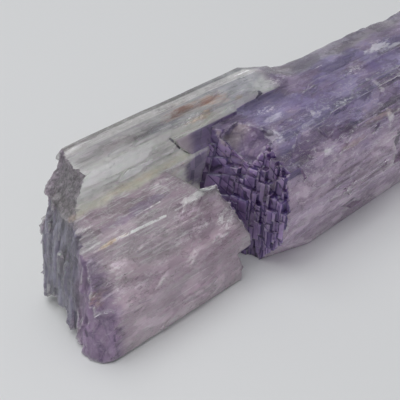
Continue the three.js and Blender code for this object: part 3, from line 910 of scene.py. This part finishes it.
def clearColour(graph, f):
    clear = blend(graph, "clear", f.fibre)
    clear = graph.mix(clear, blend(graph, "clearBack", f.fibre), f.clearBack)
    # painted light: the front lighter where light comes through it
    front = blend(graph, "clearFront", f.fibre)
    front = graph.mix(front, seen("greenish"), graph.rise(f.x, 22, 30) * 0.8)
    clear = graph.mix(clear, front, f.clearFront)
    clear = graph.mix(clear, seen("clearFar"), graph.rise(f.x, 36, 42) * 0.5)
    shadow = graph.patch(f.at, f.ragged * 0.6, *crystal["shadowPatch"])
    clear = graph.mix(clear, seen("blueGrey"), shadow * 0.6)
    foot = graph.rise(f.z + f.wander, 22.4, 21.2) * graph.rise(f.x, 4, 8)
    clear = graph.mix(clear, seen("cream"), foot * 0.8)
    blush = graph.patch(f.at, f.ragged, *crystal["blushPatch"])
    clear = graph.mix(clear, seen("mauve"), blush * 0.4)
    return graph.mix(clear, blend(graph, "strip", f.fibre), f.clearStrip * 0.8)


def violetColour(graph, f):
    hueNoise = graph.streaks(f.at, 0.6, 0.15, 4, 0.6, shift=(2, 2, 2))
    violet = blend(graph, "violetBlue", f.cloud)
    redder = blend(graph, "violetRed", f.cloud)
    violet = graph.mix(violet, redder, graph.rise(hueNoise, 0.44, 0.56) * 0.7)
    violet = graph.mix(violet, graph.shade(violet, 1.2), graph.rise(f.duskNoise, 0.5, 0.42) * 0.5)
    violet = graph.mix(violet, blend(graph, "violetRear", f.cloud), f.violetRear * 0.65)
    # painted light: the front lighter, more so lower down
    low = graph.shade(blend(graph, "violetLow", f.cloud), graph.rise(f.z, 14, 3) * 0.5 + 1)
    return graph.mix(violet, low, f.violetLow)


def addClouds(graph, f, colour):
    # fog and dusk inside the crystal, calmer on the pink crystal and on top
    calm = 1 - f.pinkPart * 0.4 - f.violetTop * 0.5
    foggy = graph.mix(graph.shade(colour, 1.3), seen("fog"), 0.35)
    colour = graph.mix(colour, foggy, f.fog * calm * 0.42)
    colour = graph.mix(colour, graph.shade(colour, 0.7), f.dusk * calm * 0.45)
    return graph.mix(colour, seen("plum"), f.plum * 0.85)


def addStreaks(graph, f, colour):
    # growth lines, white needles painted as glints, crack lines, nicks and veins, all along the crystal
    plainPink = f.pinkPart - f.pinkRidge
    hair = f.shortHair + f.clearPart * (f.longHair - f.shortHair)
    lines = f.grain + f.clearPart * (f.fibre - f.grain)
    smooth = (f.violetTop + f.plum * 0.5).atMost(1)
    depth = (f.clearPart + f.violetLow) * 0.15 - smooth * 0.29 - f.pinkEnd * 0.3 + 0.35
    depth = depth + f.pinkRidge * 0.2 - plainPink * 0.12
    pale = graph.rise(hair, 0.53, 0.63) * graph.rise(lines, 0.46, 0.6)
    colour = graph.mix(colour, seen("line"), pale * depth)
    darkLine = graph.rise(hair, 0.42, 0.34) * graph.rise(lines, 0.56, 0.42)
    colour = graph.mix(colour, graph.shade(colour, 0.45), darkLine * depth * 1.2)

    fewer = 1 - f.violetPart * 0.7 - f.violetTop * 0.25 - f.pinkEnd * 0.8 - plainPink * 0.35
    # painted glints: short white lines along the striations
    needleGlintNoise = graph.streaks(f.at, 0.07, 5.0, 2, 0.5, shift=(6, 6, 2))
    needle = graph.rise(needleGlintNoise, 0.57, 0.64) * graph.rise(f.grain, 0.44, 0.54) * fewer
    colour = graph.mix(colour, seen("needle"), needle * 0.85)

    crackNoise = graph.streaks(f.at, 0.4, 0.6, 4, 0.6, 0.6, shift=(3, 5, 8))
    crack = graph.rise(abs(crackNoise - 0.5), 0.012, 0.004) * graph.rise(f.fogNoise, 0.56, 0.5)
    crack = crack * (1 - f.clearPart * 0.7 - f.violetTop * 0.4)
    colour = graph.mix(colour, graph.shade(colour, 0.4), crack * 0.7)
    nick = graph.rise(graph.streaks(f.at, 0.55, 1.3, 3, 0.5, shift=(4, 4, 4)), 0.34, 0.29)
    colour = graph.mix(colour, graph.shade(colour, 0.45), nick * (0.45 - f.violetTop * 0.15))
    veinNoise = graph.streaks(f.at, 0.45, 0.5, 5, 0.65, 0.8, shift=(13, 2, 6))
    vein = graph.rise(abs(veinNoise - 0.5), 0.022, 0.005) * graph.rise(f.speck, 0.42, 0.56)
    return graph.mix(colour, seen("vein"), vein * (0.55 - f.violetTop * 0.3 - f.pinkEnd * 0.35))


def addEtchedFace(graph, f, colour):
    # cells and clefts, the scoop above them with a painted highlight at its back, the thin flake beside
    # them and painted shade in the recess behind
    cells = graph.shade(blend(graph, "cell", f.cell), graph.rise(f.z, 12, 3) * 0.3 + 1)
    colour = graph.mix(colour, graph.mix(cells, seen("cleft"), f.cleft * 0.85), f.etched)

    scoop = blend(graph, "scoop", f.plateTone)
    # painted highlight, lighter towards the back of the scoop
    scoop = graph.mix(scoop, seen("scoopBack"), graph.rise(f.y, 8.5, 10.5) * 0.6)
    scoop = graph.mix(scoop, seen("plateEdge"), f.plateEdge * 0.25 + f.dusk * 0.4)
    scoop = graph.mix(scoop, seen("scoopCleft"), f.cleft * 0.8)
    colour = graph.mix(colour, scoop, f.scoop * 0.9)

    flake = blend(graph, "flake", f.plateTone)
    flake = graph.mix(flake, seen("flakeTip"), graph.rise(f.x, 32.5, 29.5))
    flakeEdge = (f.plateEdge * graph.rise(f.x, 32, 34)).atLeast(f.cleft)
    colour = graph.mix(colour, graph.mix(flake, seen("flakeEdge"), flakeEdge * 0.8), f.flake * 0.9)

    slivers = graph.voronoi(graph.scaled(f.at, (1, 1, 0.35)), 0.8, "F1", 1)
    return graph.mix(colour, blend(graph, "sliver", slivers), f.hollow * 0.85)


def addBrokenEnd(graph, f, colour):
    # grey pits above, bluish flutes behind and violet ones in front; their pattern is the broken
    # surface, their darkness partly painted shade
    pitNoise = graph.noise(graph.scaled(f.at, (1, 1, 0.7)), 1.5, 5, 0.75)
    pits = blend(graph, "pit", graph.rise(pitNoise, 0.36, 0.62))
    chips = graph.voronoi(graph.scaled(f.at, (1, 1, 0.8)), 0.85, "DISTANCE_TO_EDGE")
    pits = graph.mix(pits, seen("chipEdge"), graph.rise(chips, 0.09, 0.02) * 0.5)
    fluteNoise = graph.noise(graph.scaled(f.at, (0.6, 1, 0.16)), 1.15, 4, 0.62)
    flutes = blend(graph, "flute", graph.rise(fluteNoise, 0.38, 0.68))
    chunks = graph.voronoi(graph.scaled(f.at, (1, 1, 0.5)), 0.4, "F1", 1)
    flutes = graph.mix(flutes, blend(graph, "chunk", chunks), 0.4)
    rough = graph.mix(flutes, pits, graph.rise(f.z, 18.5, 20.5))
    frontFlutes = blend(graph, "frontFlute", graph.rise(fluteNoise, 0.3, 0.7))
    rough = graph.mix(rough, frontFlutes, graph.rise(f.y + f.wander * 3, 9.0, 6.8))
    slantingEnd = graph.rise(f.y, 5.6, 4.4) * graph.rise(f.z, 14.5, 13.0)
    return graph.mix(colour, rough, f.broken * (0.9 - slantingEnd * 0.75))


def addMarks(graph, f, colour):
    # veils, stains, painted highlights, crack lines and painted shadows, the darkest last
    colour = graph.mix(colour, seen("haze"), f.haze * 0.6)
    colour = graph.mix(colour, seen("veil"), f.white.atLeast(f.frost) * 0.8)
    colour = graph.mix(colour, seen("deep"), f.deep * 0.8)
    rust = blend(graph, "rust", f.fibre)
    rust = graph.mix(rust, seen("rustFar"), graph.rise(f.x, 33, 40) * 0.7)
    colour = graph.mix(colour, rust, f.rust)
    colour = graph.mix(colour, seen("glint"), f.glint)
    colour = graph.mix(colour, blend(graph, "gold", f.speck), f.gold * 0.75)
    return graph.mix(colour, seen("crack"), f.dark * 0.9)


def milkShare(graph, f):
    # how much of a point is milky crystal, the rest being clear glass
    pinkMilk = crystal["milkPink"]
    milk = f.clearPart * (crystal["milkClear"] - pinkMilk)
    milk = milk + f.violetPart * (crystal["milkViolet"] - pinkMilk) + pinkMilk
    milk = milk + (f.cloud - 0.5) * 0.7 + f.fog * 0.15 + f.milkiness * 0.4 + f.deep * 0.4 + f.rust * 0.5
    frosted = (f.etched + f.broken + f.scoop + f.flake) * 0.35
    milk = milk + frosted + (f.clearStrip * 0.25 + f.clearFront * 0.1) * f.clearPart + f.hollow * 0.5
    return milk + f.pinkEnd * f.pinkPart * 0.2 + f.dark * 0.6 + f.violetLow * 0.15


def kunzite():
    graph = Graph("kunzite")
    f = SimpleNamespace()      # the fields that the steps of the finish share
    origin = tuple(-v / mm for v in place(0, 0, 0))
    f.at = graph.scaled(graph.add("ShaderNodeTexCoord", output=3), (1 / mm,) * 3, origin)
    makeNoises(graph, f)
    makeZones(graph, f)
    makeMarks(graph, f)

    colour = graph.mix(pinkColour(graph, f), clearColour(graph, f), f.clearPart)
    colour = graph.mix(colour, violetColour(graph, f), f.violetPart)
    print("ground colours ready:", len(graph.tree.nodes), "nodes")
    for step in (addClouds, addStreaks, addEtchedFace, addBrokenEnd, addMarks):
        colour = step(graph, f, colour)

    rough = (f.etched + f.broken) * 0.15
    gloss = graph.rise(f.cloud, 0.2, 0.8) * 0.2 + crystal["roughness"] + f.milkiness * 0.25 + rough
    bumps = graph.add("ShaderNodeBump", None, {
        "Strength": crystal["bumpStrength"], "Distance": crystal["bumpHeight"] * mm,
        "Height": graph.streaks(f.at, 0.06, 2.0, 3, 0.55) + f.speck * 0.12})
    milky = graph.add("ShaderNodeBsdfPrincipled", None, {
        "Base Color": colour, "Roughness": gloss, "IOR": crystal["ior"], "Normal": bumps,
        "Subsurface Weight": crystal["scatter"], "Subsurface Radius": crystal["scatterRadius"],
        "Subsurface Scale": crystal["scatterDepth"] * mm})
    tint = graph.mix(seen("tintPink"), seen("tintClear"), f.clearPart)
    tint = graph.mix(tint, seen("tintViolet"), f.violetPart)
    glass = graph.add("ShaderNodeBsdfPrincipled", None, {
        "Base Color": tint, "Roughness": gloss * 0.5, "IOR": crystal["ior"], "Normal": bumps,
        "Transmission Weight": 1.0})
    surface = graph.add("ShaderNodeMixShader", None, {0: milkShare(graph, f), 1: glass, 2: milky})
    inside = graph.add("ShaderNodeVolumeAbsorption", None, {
        "Color": crystal["absorption"], "Density": crystal["density"]})
    print("finish ready:", len(graph.tree.nodes), "nodes")
    return graph.finish(surface, inside)


makeStudio()
makeCamera()
print("studio ready")
piece = makeCrystal()
piece.data.materials.append(kunzite())
print("crystal ready:", len(piece.data.polygons), "triangles")
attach(piece, "root")
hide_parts("kunzite_crystal")
